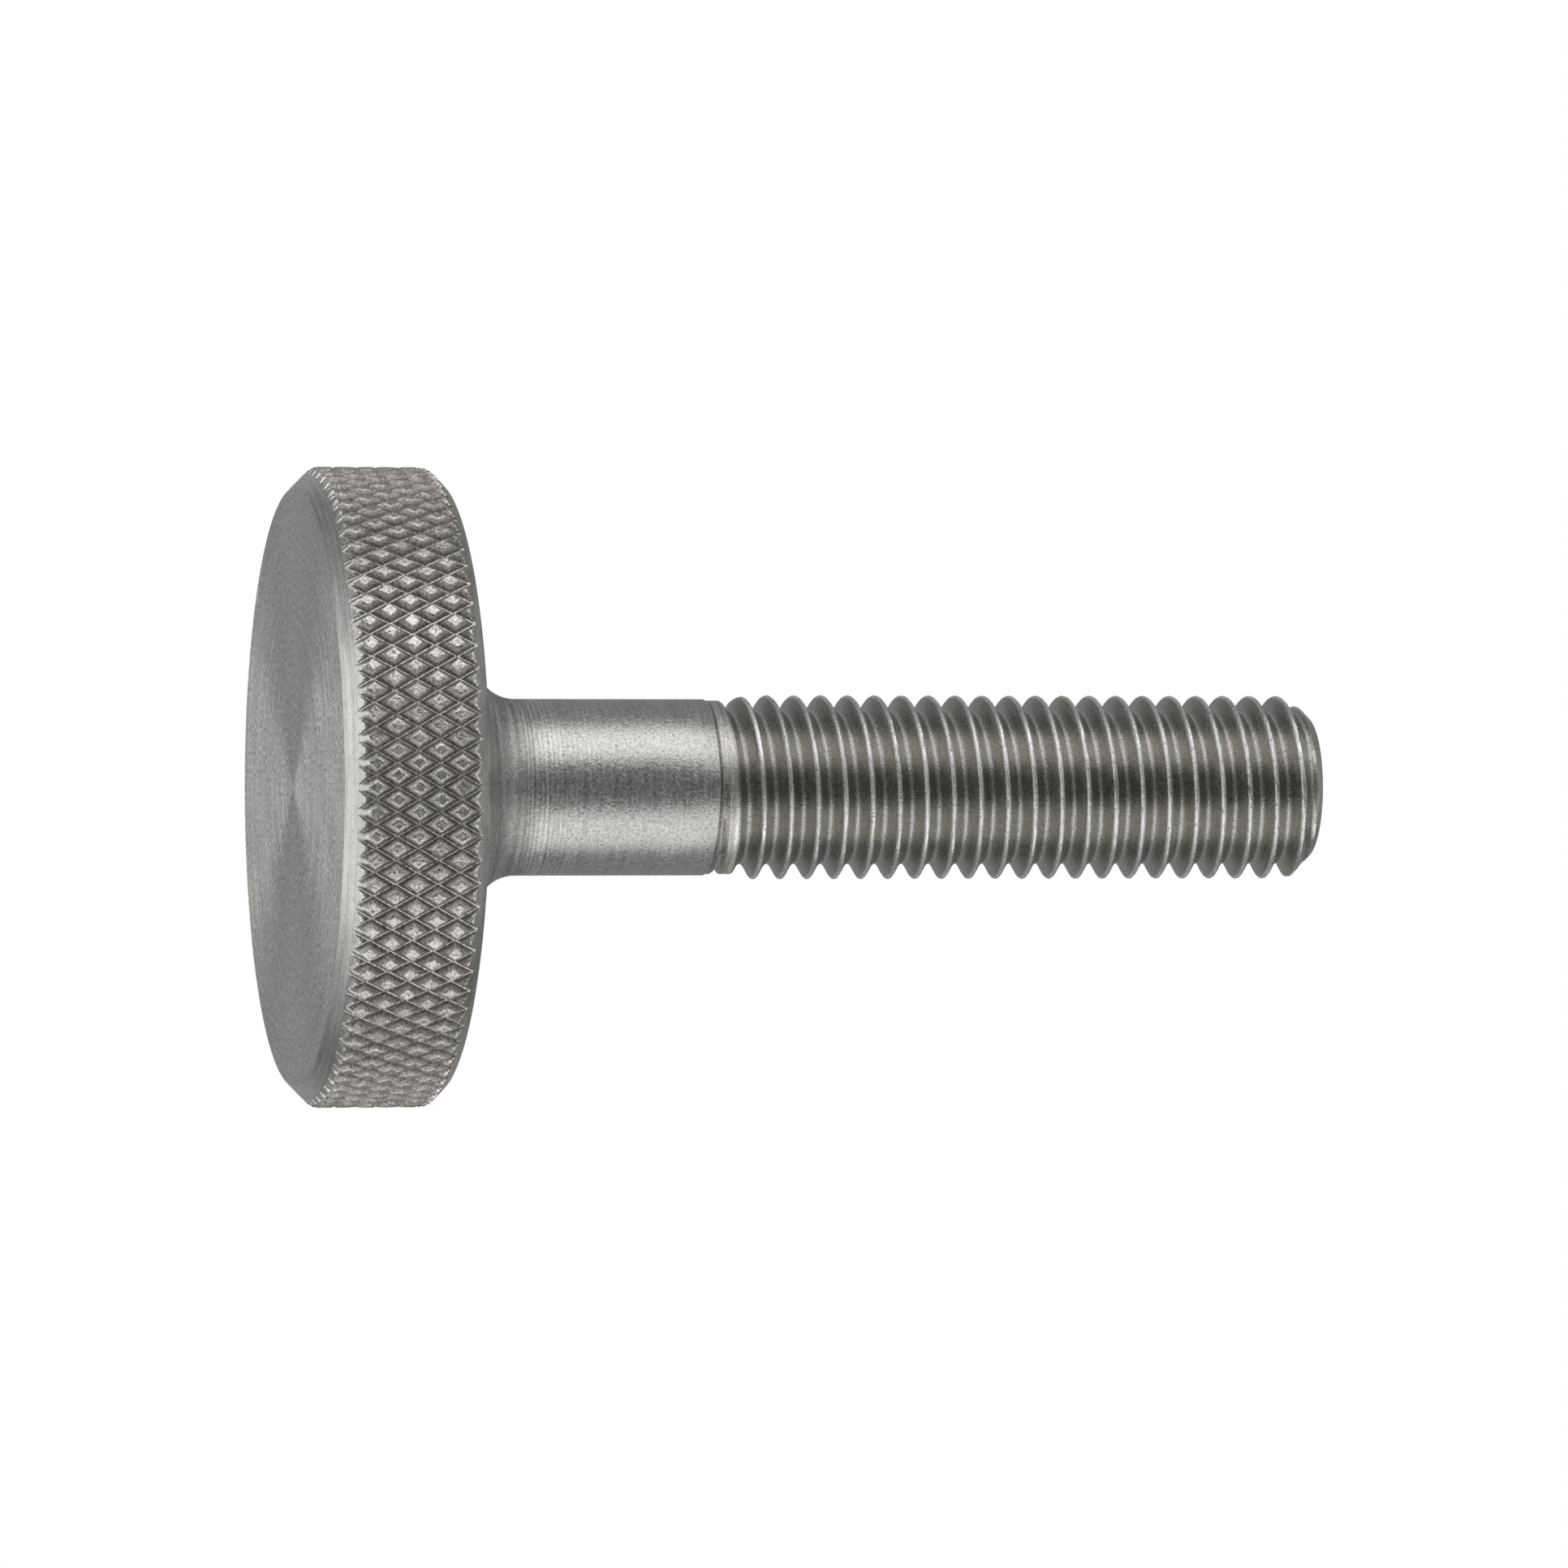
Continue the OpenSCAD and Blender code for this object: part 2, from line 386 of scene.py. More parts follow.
# %% [markdown]
# ## Hub, fillet and shank
#
# The low cone of the hub runs into the shank through a fillet, which keeps the screw
# from breaking there. A bevel modifier could round that corner, but then its size would
# hang on the mesh. Here the fillet is an arc, and its centre follows from geometry: it
# lies the arc's radius away from the shank and from the hub's slope. A fine turned line
# ends the plain shank, just before the thread.

# %% Hub, fillet and shank
slope = math.radians(hub_angle)
neck_x = shank_r + neck_r
neck_z = head_h + (neck_r - (neck_x - hub_r) * math.sin(slope)) / math.cos(slope)
arc_steps = 16
t = np.linspace(math.pi / 2 - slope, 0, arc_steps)
arc_r = neck_x - neck_r * np.cos(t)
arc_z = neck_z - neck_r * np.sin(t)

# the hub's foot is broken by a small flat of its own, at half the slope
foot_w, foot_low, foot_high = 0.1, 0.02, 0.08
half_r = 0.5 * (hub_r + arc_r[0])
foot_in, foot_out = stack(
    [hub_r + foot_w, hub_r - foot_w, half_r],
    [head_h + foot_low, head_h + foot_high, head_h + (hub_r - half_r) * math.tan(slope)],
    plain_count, "turned_side",
)
bridge(under_out, foot_in, "turned_side")

# the fillet's arc, and a few rings along the shank
shank_end_z = thread_z - line_w
past_fillet, shank_rings = 1.0, 5
shank_z = np.linspace(neck_z + past_fillet, shank_end_z - break_w, shank_rings)
neck_in, shank_out = stack(
    np.concatenate([arc_r, np.full(len(shank_z), shank_r), [shank_r - 0.5 * break_w]]),
    np.concatenate([arc_z, shank_z, [shank_end_z]]),
    coarse_count, "turned_side",
)
bridge(foot_out, neck_in, "turned_side")
print(f"hub {2 * hub_r:.1f} mm across, fillet up to {neck_z:.2f} mm")
print(f"plain shank {2 * shank_r:.2f} mm thick, {plain_l:.1f} mm long")

# %% [markdown]
# ## The thread
#
# A thread is one ridge that winds round the bar. Its outline, from root to crest and
# back, is carried round a helix: point m of the outline sits a little higher on every
# next column, and after one turn it has climbed by exactly one pitch. So the last
# column is the first one again, moved on by one outline, and the skin has no seam. A
# screw modifier winds an outline in the same way, but can't change it on the way up.
#
# At both ends the heights are clamped. The clamped points fall together on a plain
# ring, and the weld at the end removes the empty triangles between them.
#
# A thread doesn't begin all at once. The first groove deepens along the helix, as the
# cutting tool sinks in. The crests between the grooves are the plain bar at first, and
# rise a little later. So the ridge is the smaller of two distances from the axis, that
# of the cut and that of the bar. At the other end a cone cuts the chamfer of the point.

# %% The outline of the thread
flank_steep = 1 / math.tan(math.radians(30))    # fall of a flank for its width
crest_w = 0.138         # from a crest's middle to where the straight flank begins
root_w = 0.389          # from a root's middle to where the flank ends
thread_depth = flank_steep * (pitch - crest_w - root_w) / 2
thread_root_r = thread_r - thread_depth


def thread_outline(u):
    """Height of the ridge, from 0 in the root to 1 on the crest, at the distance u from
    the crest's middle. The flank is straight, and a parabola rounds it at each end: its
    slope grows evenly from none to that of the flank."""
    from_root = pitch / 2 - u
    crest = -flank_steep * u ** 2 / (2 * crest_w)
    flank = -flank_steep * (u - crest_w / 2)
    root = -thread_depth + flank_steep * from_root ** 2 / (2 * root_w)
    fall = np.where(u < crest_w, crest, np.where(from_root < root_w, root, flank))
    return 1 + fall / thread_depth


side_u = np.array([0.06, 0.135, 0.25, 0.37, 0.49, 0.62])
outline_u = np.concatenate([-side_u[::-1], [0], side_u, [pitch / 2]])
outline_h = thread_outline(np.abs(outline_u))
per_turn = len(outline_u)
print(f"thread {thread_depth:.3f} mm deep, {per_turn} points in its outline")

# %% The ridge, carried round the bar
start_step = 0.07       # step down from the shank at which the thread starts
start_r = shank_r - start_step
start_turn = 0.66       # where round the bar the ridge starts, as a share of a turn
turns = range(-2, math.ceil((end_z - thread_z) / pitch) + 1)
sides = np.arange(coarse_count)[:, None]
side_turn = start_turn + sides / coarse_count
along = np.concatenate([outline_u + n * pitch for n in turns])[None, :]
ridge_z = thread_z + side_turn * pitch + along
ridge_h = np.broadcast_to(np.tile(outline_h, len(turns)), ridge_z.shape)
clamped_z = np.clip(ridge_z, thread_z, end_z)
from_start = clamped_z - thread_z

# small nicks in the crest: mostly shallow, because a random share to the sixth power is
crest_from = 0.86       # height of the ridge above which it is crest
nick_depth = 0.03
nicks = rng.uniform(0, 1, ridge_z.shape) ** 6 * nick_depth
nicks = np.where(ridge_h > crest_from, nicks, 0)

# the cut deepens with the height of the groove's own middle over the thread's start
groove_from, groove_to = -1.6, 1.15     # where the first groove begins and is full
entry_h = 0.10          # height in which the thread's first edge drops into it
groove_z = (side_turn + np.floor(along / pitch) + 0.5) * pitch
groove_share = ramp(groove_z, groove_from, groove_to) * ramp(from_start, 0, entry_h)
cut_r = thread_root_r + thread_depth * (ridge_h + 1 - groove_share)

# the bar rises smoothly from the shank to the crests
rise_from, rise_to = 0.9, 2.3           # heights over the thread's start
risen = ramp(from_start, rise_from, rise_to)
bar_r = start_r + (thread_r - start_r) * risen ** 2 * (3 - 2 * risen)
ridge_r = np.minimum(cut_r, bar_r) - nicks * groove_share

# the cone of the point cuts off what lies outside it
cone = point_r + end_z - clamped_z
cut = ridge_r > cone
ridge_r = np.minimum(np.minimum(ridge_r, cone), thread_r)
turn_angle = sides * 2 * math.pi / coarse_count + 0 * along
thread = add_points(
    np.stack([ridge_r * np.cos(turn_angle), ridge_r * np.sin(turn_angle), clamped_z], -1),
    np.where(cut, 1.0, ridge_h),
)
print(f"thread of {(end_z - thread_z) / pitch:.1f} turns")

# %% The skin of the thread
# The column after the last one is the first one, one turn further on.
land_h = 0.7            # the crests are still the plain bar up to here
touching = 1e-6         # a smaller difference is only rounding
around_again = np.append(thread[0, per_turn:], [thread[0, -1]] * per_turn)
next_column = np.vstack([thread[1:], around_again])
v00, v10 = thread[:, :-1], next_column[:, :-1]
v01, v11 = thread[:, 1:], next_column[:, 1:]
on_top = (ridge_h > crest_from) | (cut_r > bar_r + touching)
on_top = on_top[:, :-1] & on_top[:, 1:]
at_start = from_start[:, :-1] < land_h
on_cone = cut[:, :-1] | cut[:, 1:]
for finish, where in (
    ("run_out", on_top & at_start), ("crest", on_top & ~at_start & ~on_cone),
    ("flank", ~on_top & ~on_cone), ("chamfer", on_cone),
):
    add_triangles(v00[where], v10[where], v11[where], finish)
    add_triangles(v00[where], v11[where], v01[where], finish)

# the fine turned line, and the ring on which the thread starts
line_in, line_out = stack(
    [start_r - line_d, start_r],
    [shank_end_z + 0.4 * line_w, shank_end_z + 0.6 * line_w], coarse_count, "flank",
)
bridge(shank_out, line_in, "flank")
start_ring, _ = stack([start_r], [thread_z], coarse_count, "run_out")
bridge(line_out, start_ring, "run_out")

# the flat end of the point
_, end_out = stack(
    [point_r, point_r - break_w, point_r * 0.5], [end_z, end_z, end_z],
    coarse_count, "turned_end",
)
cap(end_out, end_z, 1, "turned_end")

# %% [markdown]
# ## Welding the skin
#
# The surfaces were made one by one, and where they meet their points lie in the same
# place. Rounding every point and keeping one of each joins them, and triangles that
# have lost a corner are dropped. A closed skin uses every edge exactly twice, once in
# each direction, which is easy to count.

# %% One closed mesh
all_points = np.concatenate(points)
all_triangles = np.concatenate(triangles)
all_finishes = np.concatenate(finishes)
all_reliefs = np.concatenate(reliefs)

weld_digits = 5         # points are one where these digits of a millimetre agree
rounded = np.round(all_points, weld_digits) + 0.0
_, first, same = np.unique(rounded, axis=0, return_index=True, return_inverse=True)
skin_points = all_points[first]
skin_reliefs = all_reliefs[first]
skin = same.reshape(-1)[all_triangles]
whole = np.all(skin != np.roll(skin, 1, axis=1), axis=1)
skin, skin_finishes = skin[whole], all_finishes[whole]

edges = np.concatenate([skin[:, [0, 1]], skin[:, [1, 2]], skin[:, [2, 0]]])
key = edges[:, 0] * len(skin_points) + edges[:, 1]
back = edges[:, 1] * len(skin_points) + edges[:, 0]
loose = np.setdiff1d(key, back).size + (len(key) - len(np.unique(key)))
print(f"{len(skin)} triangles, {loose} loose edges")

# %% The piece
sharp_from = 32         # degrees between two faces from which their edge stays sharp
mesh = bpy.data.meshes.new("thumb_screw_skin")
mesh.from_pydata((skin_points * MM).tolist(), [], skin.tolist())
mesh.polygons.foreach_set("material_index", skin_finishes.astype(np.int32))
mesh.polygons.foreach_set("use_smooth", np.ones(len(skin), bool))
mesh.attributes.new("relief", "FLOAT", "POINT").data.foreach_set(
    "value", skin_reliefs.astype(np.float32)
)
mesh.set_sharp_from_angle(angle=math.radians(sharp_from))
mesh.update()
screw = bpy.data.objects.new("turned_screw", mesh)
bpy.context.collection.objects.link(screw)
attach(screw, "root")
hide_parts("thumb_screw")
print(f"{screw.name} rides on root")

# %% [markdown]
# ## The finish of the steel
#
# Plain stainless steel has hardly any colour of its own. What tells its surfaces apart
# is what the tools left on them, with some painted shade and painted highlight besides:
#
# - the face has soft rings, and finer ones that draw a reflection out into a streak, and
#   its steel is painted lighter than the rest, as painted light
# - the flat surfaces behind it and at the point have the same rings in the plain steel,
#   darker than the face
# - the chamfers have sharper rings on a smoother ground
# - the knurl has a torn grain, and walls that are duller than its tops; painted shade
#   darkens the walls, and the groove bottoms are a lighter line, partly burnished and
#   partly painted highlight
# - the hub, the fillet and the shank have fine rings, with the coarse marks of the
#   tool's feed near the head; the fillet is rougher than the rest, and painted shade
#   darkens it
# - the run-out, where the thread starts, has strong streaks
# - the flanks of the thread have a torn grain, and painted shade darkens them low down
# - the crests of the thread and the burrs of the knurl are pitted, and their lighter
#   steel is partly worn bright and partly painted highlight
#
# Eight painted textures could be wrapped round the screw. Here it is one recipe with
# eight sets of numbers, worked out wherever light falls, so it has no seam and stays
# sharp close by.
#
# The rings come from one measure, the way along the outline, which is the height plus
# a multiple of the distance from the axis. Noise that is squeezed along that measure
# and drawn out round the axis gives rings on a flat face and on a cylinder alike.

# %% Small helpers for shader nodes
class Nodes:
    """The nodes of a material or a world, with short ways to add more. The method node
    returns the new node, and the others below it return an output socket."""

    def __init__(self, owner):
        owner.use_nodes = True
        self.tree = owner.node_tree

    def link(self, output, socket):
        """Joins an output to the input socket of another node."""
        self.tree.links.new(output, socket)

    def node(self, kind, values=None, **settings):
        """Adds a node. settings are its own choices, and values are for its inputs,
        each a plain value or the output that is joined to it."""
        made = self.tree.nodes.new(kind)
        for setting, value in settings.items():
            setattr(made, setting, value)
        for socket, value in (values or {}).items():
            if isinstance(value, bpy.types.NodeSocket):
                self.link(value, made.inputs[socket])
            else:
                made.inputs[socket].default_value = value
        return made

    def math(self, operation, a, b=0.0, c=0.0):
        """One step of arithmetic. MULTIPLY_ADD is a times b, plus c."""
        made = self.node("ShaderNodeMath", {0: a, 1: b, 2: c}, operation=operation)
        return made.outputs[0]

    def scaled(self, value, low, high, to_low, to_high):
        """Maps low..high to to_low..to_high, and holds the value at the ends."""
        made = self.node("ShaderNodeMapRange", {
            "Value": value, "From Min": low, "From Max": high,
            "To Min": to_low, "To Max": to_high,
        })
        return made.outputs["Result"]

    def noise(self, vector, scale=1.0, detail=3.0, roughness=0.55):
        """Soft noise about 0.5, with scale waves to a metre of the vector."""
        made = self.node("ShaderNodeTexNoise", {
            "Vector": vector, "Scale": scale, "Detail": detail, "Roughness": roughness,
        })
        return made.outputs["Fac"]

    def mix(self, factor, a, b):
        """a where factor is 0, b where it is 1."""
        made = self.node("ShaderNodeMix", {0: factor, 6: a, 7: b}, data_type="RGBA")
        return made.outputs[2]


# %% Where the marks lie, in millimetres
outward_share = 1.6     # way along the outline for each millimetre away from the axis
marks_from, marks_to = 12.5, 16.0       # heights between which the coarse marks fade
marks_left = 0.45       # share of the rings' depth that is left on the shank
feed_w = 0.26           # advance of the tool in one turn of the bar
feed_wander = 9         # how far its marks stray from an even row, in radians
# between these heights the fillet is rougher, and painted shade darkens its colour
neck_shade_from, neck_shade_full = neck_z - 3.2, neck_z - 1.2       # where the dull fillet begins
rough_and_shade_until, rough_and_shade_end = neck_z - 0.1, neck_z + 0.6       # and where it ends
print(f"coarse marks up to {marks_to:.1f} mm, dull fillet up to {rough_and_shade_end:.1f} mm")

# %% Spans of noise and of relief
# Noise lies round 0.5 and seldom gets near 0 or 1, so each layer uses a span in the
# middle of it. The narrower the span, the harder the edges of the marks.
noise_span = 0.3, 0.7
ring_span = 0.35, 0.65
grain_span = 0.32, 0.68
pit_span = 0.62, 0.70           # only the peaks of the noise are pits

# Relief is 0 at the bottom of a groove and 1 on the top of the pattern. These spans
# also place the painted shade below the tops and on the low walls, and the lighter
# groove bottoms.
root_span = 0.0, 0.05
bottom_span = 0.01, 0.06
wall_span = 0.35, 0.60
top_span = 0.80, 0.93


# %% The patterns of turned steel
class TurnedSteel(Nodes):
    """A steel material with the grey patterns that its colour, its roughness and its
    bumps share. rings and grain are how many there are of them in a millimetre."""

    def __init__(self, name, rings, grain):
        self.material = bpy.data.materials.new(name)
        super().__init__(self.material)
        self.surface = self.tree.nodes["Principled BSDF"]
        place = self.node("ShaderNodeTexCoord").outputs["Object"]
        self.x, self.y, self.z = self.node("ShaderNodeSeparateXYZ", {0: place}).outputs
        x_squared = self.math("MULTIPLY", self.x, self.x)
        y_squared = self.math("MULTIPLY", self.y, self.y)
        radius = self.math("SQRT", self.math("ADD", x_squared, y_squared))
        self.along_outline = self.math("MULTIPLY_ADD", radius, outward_share, self.z)

        # what the tool left: rings, broad rings, short scratches along them and its feed
        self.fine_rings = self.ring_noise(rings, 110, 2)
        self.broad_rings = self.ring_noise(rings * 0.25, 60, 3)
        scratches = self.ring_noise(rings * 1.6, 700, 1)
        self.rings = self.math(
            "ADD", self.math("MULTIPLY", self.fine_rings, 0.65),
            self.math("MULTIPLY", scratches, 0.35),
        )
        self.feed = self.math("SINE", self.math(
            "MULTIPLY_ADD", self.along_outline, 2 * math.pi / (feed_w * MM),
            self.math("MULTIPLY", self.broad_rings, feed_wander),
        ))

        # what the steel itself shows
        self.clouds = self.noise(place, scale=260, detail=5, roughness=0.65)
        self.grains = self.noise(place, scale=grain * 1000, detail=2, roughness=0.7)
        self.pits = self.noise(place, scale=grain * 700, detail=2, roughness=0.6)

    def ring_noise(self, per_mm, round_scale, detail):
        """Noise at the point (per_mm times the way along the outline, round_scale times
        x, round_scale times y). The smaller round_scale, the longer the marks."""
        vector = self.node("ShaderNodeCombineXYZ", {
            0: self.math("MULTIPLY", self.along_outline, per_mm / MM),
            1: self.math("MULTIPLY", self.x, round_scale),
            2: self.math("MULTIPLY", self.y, round_scale),
        }).outputs[0]
        return self.noise(vector, detail=detail)

    def between_heights(self, low, high, at_low, at_high):
        """at_low below the height low, at_high above high, even in between."""
        return self.scaled(self.z, low * MM, high * MM, at_low, at_high)

    def layer(self, pattern, span, strength):
        """A factor that runs from 1 - strength to 1 + strength over the span."""
        return self.scaled(pattern, *span, 1 - strength, 1 + strength)


# %% The recipe that all the finishes share
def steel_finish(
    name, colour, roughness, anisotropy=0.0, rings=6, grain=9,
    ring_tone=0.1, grain_tone=0.12, cloud_tone=0.05, feed_tone=0.0, speck_tone=0.7,
    groove_tone=1.0, wall_tone=1.0, root_tone=1.0, neck_tone=1.0,
    flank_rough=0.0, neck_rough=0.0, ring_bump=3.0, grain_bump=4.0,
):
    """Turned steel. The colour is multiplied by one factor after another. ring_tone,
    grain_tone, cloud_tone and feed_tone are how far the factors of those patterns lie
    from 1. speck_tone, groove_tone, wall_tone, root_tone and neck_tone are the factors
    themselves: of the pits, of all that is below a pattern's top, of the low part of
    its walls, of the very bottom of its grooves, and of the fillet. The last four are
    painted light: painted shade below the tops, on the low walls and on the fillet, and
    a lighter groove bottom that is partly burnished and partly painted highlight.
    flank_rough and neck_rough are added to the roughness below a top, and on the hub and
    the fillet. The bumps are heights in micrometres."""
    s = TurnedSteel(name, rings, grain)
    near_head = s.between_heights(marks_from, marks_to, 1, marks_left)
    feed_here = s.between_heights(marks_from, marks_to, 1, 0)
    before_shank = s.between_heights(rough_and_shade_until, rough_and_shade_end, 1, 0)
    past_hub = s.between_heights(neck_shade_from, neck_shade_full, 0, 1)
    relief = s.node("ShaderNodeAttribute", attribute_name="relief").outputs["Fac"]
    below_top = s.scaled(relief, *top_span, 1, 0)
    off_bottom = s.scaled(relief, *bottom_span, 0, 1)
    on_flank = s.math("MULTIPLY", off_bottom, below_top)
    low_down = s.math("MULTIPLY", off_bottom, s.scaled(relief, *wall_span, 1, 0))

    # the colour
    ring_shown = s.math("MULTIPLY_ADD", s.math("SUBTRACT", s.rings, 0.5), near_head, 0.5)
    tone = s.layer(s.clouds, noise_span, cloud_tone)
    for factor in (
        s.layer(ring_shown, ring_span, ring_tone),
        s.math("MULTIPLY_ADD", s.math("MULTIPLY", s.feed, feed_here), feed_tone, 1),
        # painted shade on the hub and the fillet
        s.scaled(s.math("MULTIPLY", before_shank, past_hub), 0, 1, 1, neck_tone),
        s.layer(s.grains, grain_span, grain_tone),
        s.scaled(s.pits, *pit_span, 1, speck_tone),
        # painted shade: all that is below a pattern's top is darker
        s.scaled(on_flank, 0, 1, 1, groove_tone),
        # painted shade: the low part of the walls is darker still
        s.scaled(low_down, 0, 1, 1, wall_tone),
        # the very bottom of a groove is lighter: partly burnished, partly painted highlight
        s.scaled(relief, *root_span, root_tone, 1),
    ):
        tone = s.math("MULTIPLY", tone, factor)
    red, green, blue = colour
    warmer = [red, green * 0.985, blue * 0.96, 1]
    warm = s.mix(on_flank, [red, green, blue, 1], warmer)
    toned = s.node("ShaderNodeVectorMath", {0: warm, "Scale": tone}, operation="SCALE")
    s.link(toned.outputs[0], s.surface.inputs["Base Color"])

    # the roughness: rings, clouds and grains move it by the same small step
    step, least = 0.05, 0.08
    rough = s.scaled(s.fine_rings, *noise_span, roughness - step, roughness + step)
    rough = s.math("ADD", rough, s.scaled(s.clouds, *noise_span, -step, step))
    rough = s.math("ADD", rough, s.scaled(s.grains, *noise_span, -step, step))
    rough = s.math("MULTIPLY_ADD", below_top, flank_rough, rough)
    rough = s.math("MULTIPLY_ADD", before_shank, neck_rough, rough)
    s.link(s.math("MAXIMUM", rough, least), s.surface.inputs["Roughness"])

    # the bumps: the rings first, then the grain on top of them
    broad_share, pit_depth = 0.7, 0.4
    ring_height = s.math("ADD", s.rings, s.math("MULTIPLY", s.broad_rings, broad_share))
    ringed = s.node("ShaderNodeBump", {
        "Height": s.math("MULTIPLY", near_head, ring_height),
        "Strength": 1.0, "Distance": ring_bump * 1e-6,
    }).outputs[0]
    grained = s.node("ShaderNodeBump", {
        "Height": s.math("SUBTRACT", s.grains, s.scaled(s.pits, *pit_span, 0, pit_depth)),
        "Strength": 1.0, "Distance": grain_bump * 1e-6, "Normal": ringed,
    }).outputs[0]
    s.link(grained, s.surface.inputs["Normal"])

    s.surface.inputs["Metallic"].default_value = 1.0
    s.surface.inputs["Anisotropic"].default_value = anisotropy
    if anisotropy:
        quarter_turn = 0.25
        s.surface.inputs["Anisotropic Rotation"].default_value = quarter_turn
        round_axis = s.node("ShaderNodeTangent", direction_type="RADIAL", axis="Z")
        s.link(round_axis.outputs[0], s.surface.inputs["Tangent"])
    return s.material


# %% The finishes
STEEL = (0.56, 0.55, 0.53)
finish_table = {
    # the face's lighter colour is painted light: it makes up for the light the face lacks
    "turned_face": steel_finish(
        "steel_turned_face", (0.70, 0.69, 0.67), 0.42, anisotropy=0.75, rings=2.2,
        ring_tone=0.15, ring_bump=3, grain=4, grain_tone=0.42, grain_bump=5,
        speck_tone=0.85),
    "turned_end": steel_finish(
        "steel_turned_end", STEEL, 0.36, anisotropy=0.6, rings=4, ring_tone=0.16,
        ring_bump=6, grain=8, grain_tone=0.20, grain_bump=8, speck_tone=0.85),
    "chamfer": steel_finish(
        "steel_chamfer", (0.66, 0.65, 0.63), 0.28, anisotropy=0.3, rings=2.6,
        ring_tone=0.2, ring_bump=12, grain_tone=0.12, grain_bump=6),
    # the knurl's grooves and walls are darkened by painted shade, and its groove bottoms
    # are lightened, partly as burnish and partly as painted highlight
    "knurl": steel_finish(
        "steel_knurl", (0.628, 0.608, 0.583), 0.29, rings=4, ring_tone=0.05, ring_bump=1,
        grain=7, grain_tone=0.45, grain_bump=40, groove_tone=0.85, wall_tone=0.64,
        root_tone=1.25, flank_rough=0.22, speck_tone=0.5),
    # the hub and the fillet are darkened by painted shade in this finish
    "turned_side": steel_finish(
        "steel_turned_side", STEEL, 0.32, anisotropy=0.3, rings=6, ring_tone=0.18,
        ring_bump=14, grain=7, grain_tone=0.32, grain_bump=17, speck_tone=0.85,
        cloud_tone=0.08, feed_tone=0.18, neck_rough=0.15, neck_tone=0.76),
    "run_out": steel_finish(
        "steel_run_out", STEEL, 0.36, rings=5, ring_tone=0.8, ring_bump=20,
        grain_tone=0.25, grain_bump=16),
    # the flanks are darkened below their crests by painted shade
    "flank": steel_finish(
        "steel_flank", (0.525, 0.515, 0.495), 0.25, rings=6, ring_tone=0.2, ring_bump=14,
        grain_tone=0.28, grain_bump=15, groove_tone=0.78),
    # the light colour of crests and burrs is partly worn-bright steel, partly painted
    # highlight
    "crest": steel_finish(
        "steel_crest", (0.84, 0.83, 0.81), 0.29, rings=5, ring_tone=0.4, ring_bump=12,
        grain=8, grain_tone=0.24, grain_bump=20, speck_tone=0.4, cloud_tone=0.12),
}
for finish in FINISHES:
    mesh.materials.append(finish_table[finish])
print(", ".join(finish_table))

# %% [markdown]
# ## The studio
#
# Bright metal has no look of its own: it shows the room. So the room matters as much as
# the steel. It is white all round, with four grey cards in it: a dark one on the
# camera's side, a darker one over that, a large one at the back, and one on the
# ceiling. The shank then shows two bright bands with a dark one between them, and its
# edges are a middle grey.
#
# Flat cards would do, but these are parts of one large ball round the screw, so that a
# card is given by the directions that it covers. They show only in reflections, so they
# neither hide the screw nor shade it. Two weak softboxes, one to each side of the
# camera, brighten the bright bands.

# %% The room's light
glow_on_floor = 0.8     # how strongly the room lights a dull surface
glow_in_view = 1.0      # and how bright it is where it is seen, or seen in the steel
world = bpy.data.worlds.new("white_room")
bpy.context.scene.world = world
room = Nodes(world)
room.tree.nodes.clear()


def white_light(strength):
    """White light from all round."""
    values = {"Color": (1, 1, 1, 1), "Strength": strength}
    return room.node("ShaderNodeBackground", values).outputs[0]


rays = room.node("ShaderNodeLightPath").outputs
seen = room.math("MAXIMUM", rays["Is Camera Ray"], rays["Is Glossy Ray"])
seen = room.math("MAXIMUM", seen, rays["Is Transmission Ray"])
lights = room.node("ShaderNodeMixShader", {
    0: seen, 1: white_light(glow_on_floor), 2: white_light(glow_in_view),
}).outputs[0]
room.node("ShaderNodeOutputWorld", {0: lights})
print(f"{world.name}: {glow_on_floor} on dull surfaces, {glow_in_view} where it is seen")


# %% Helpers for the studio
middle = np.array([0, 0, end_z * MM / 2])       # the middle of the screw


def new_object(name, data):
    """A new object in the scene, at the origin."""
    made = bpy.data.objects.new(name, data)
    bpy.context.collection.objects.link(made)
    return made


def direction(azimuth, elevation):
    """The unit vector (-sin a cos e, -cos a cos e, sin e). Azimuth 0 is the camera's
    side, and grows towards -X. The angles may be arrays, in radians."""
    return np.stack(np.broadcast_arrays(
        -np.sin(azimuth) * np.cos(elevation), -np.cos(azimuth) * np.cos(elevation),
        np.sin(elevation),
    ), -1)


# %% Cards round the screw
card_r = 0.95
card_columns, card_rows = 25, 33        # points in a card, both ways


